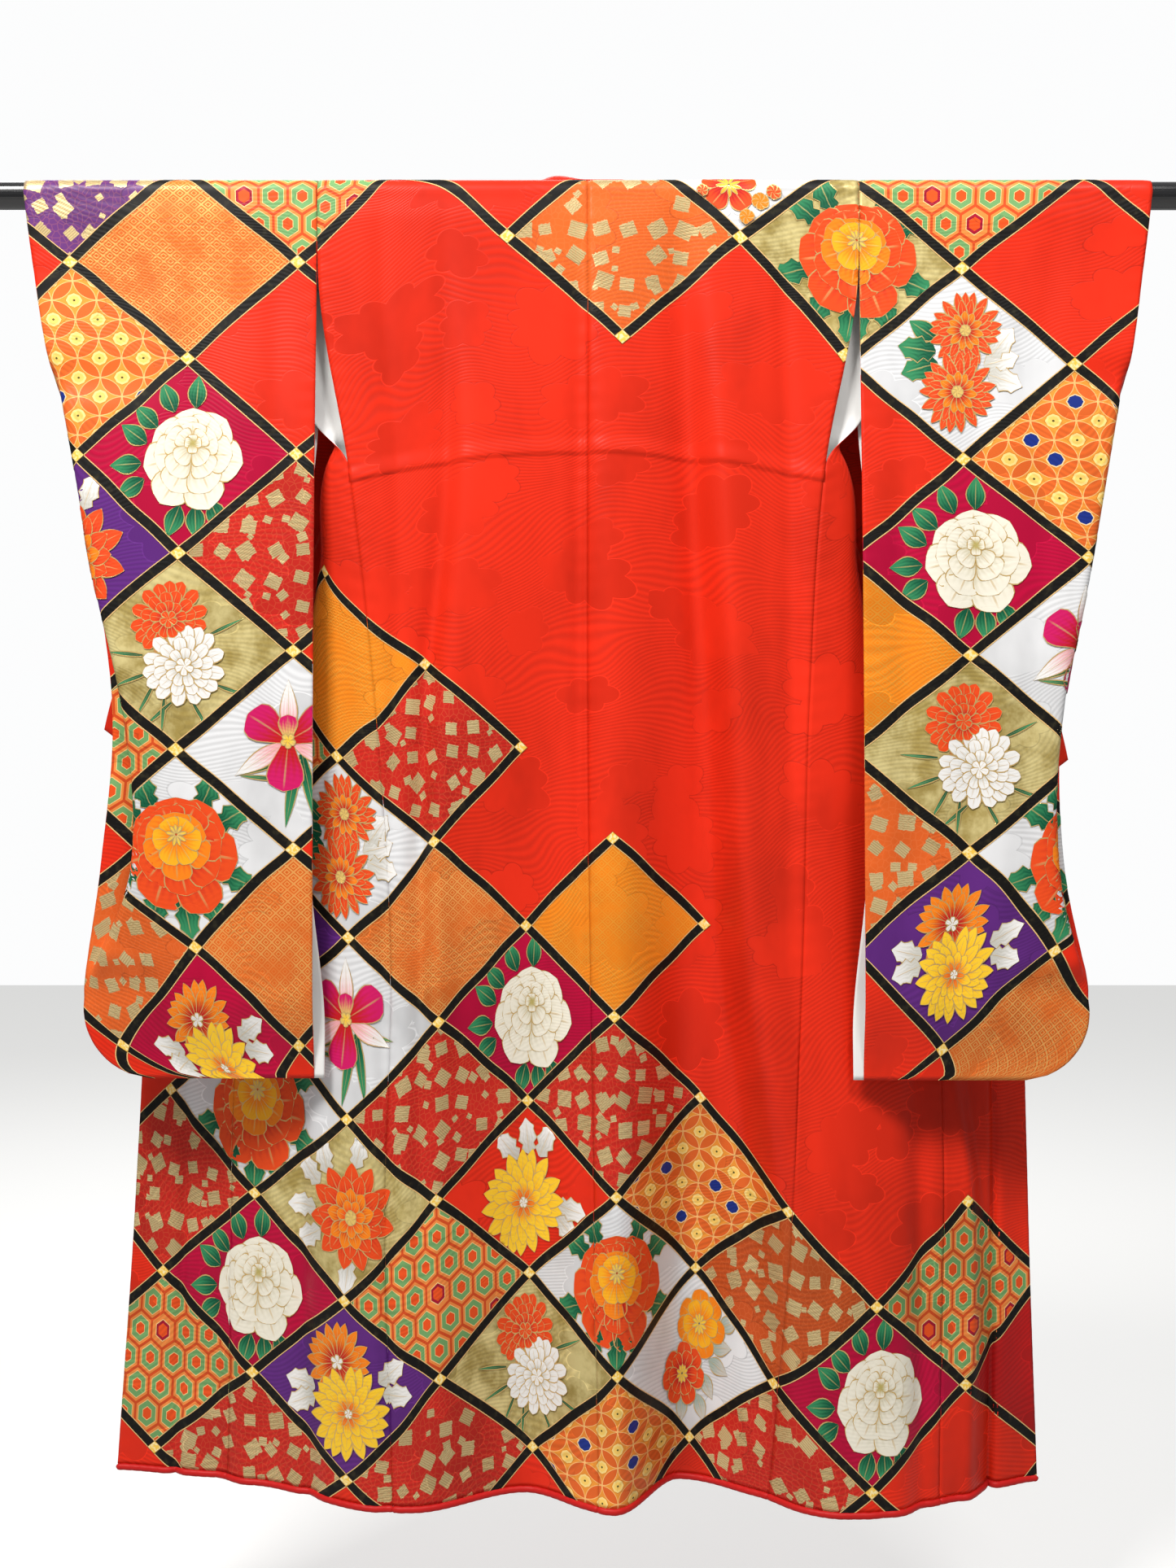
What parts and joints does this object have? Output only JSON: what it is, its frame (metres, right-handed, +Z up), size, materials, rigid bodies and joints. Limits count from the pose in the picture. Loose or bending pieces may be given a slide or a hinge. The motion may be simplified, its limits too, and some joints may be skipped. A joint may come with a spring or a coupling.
{
  "type": "furisode kimono hung on a display rod",
  "caption": "Long-sleeved silk kimono hung by its shoulders and sleeves over a round rod, back outwards, fronts spread behind the sleeves.",
  "frame": {"origin": "on the axis of the display rod at mid length, level with the shoulder fold", "axes": "+X along the rod to the right as seen from the garment's back, +Z up, -Y the way the garment's back faces and +Y towards the wall behind"},
  "size_m": [1.52, 0.1368, 1.5897],
  "materials": {
    "scarlet_silk": "figured scarlet silk satin with a painted and gilded lattice of flowers",
    "hem_silk": "plain deep red silk, padded roll",
    "white_lining": "plain white silk, soft sheen",
    "black_lacquer": "gloss black"
  },
  "bodies": {
    "root": {"display_rod": "black_lacquer", "back_left": "scarlet_silk", "back_right": "scarlet_silk", "front_left": "scarlet_silk", "front_right": "scarlet_silk", "overlap_left": "scarlet_silk", "overlap_right": "scarlet_silk", "sleeve_left": "scarlet_silk", "sleeve_right": "scarlet_silk", "collar": "scarlet_silk", "lining_front_left": "white_lining", "lining_front_right": "white_lining", "lining_sleeve_left": "white_lining", "lining_sleeve_right": "white_lining", "hem_roll_back_left": "hem_silk", "hem_roll_back_right": "hem_silk", "hem_roll_front_left": "hem_silk", "hem_roll_front_right": "hem_silk", "hem_roll_overlap_left": "hem_silk", "hem_roll_overlap_right": "hem_silk"}
  },
  "joints": []
}
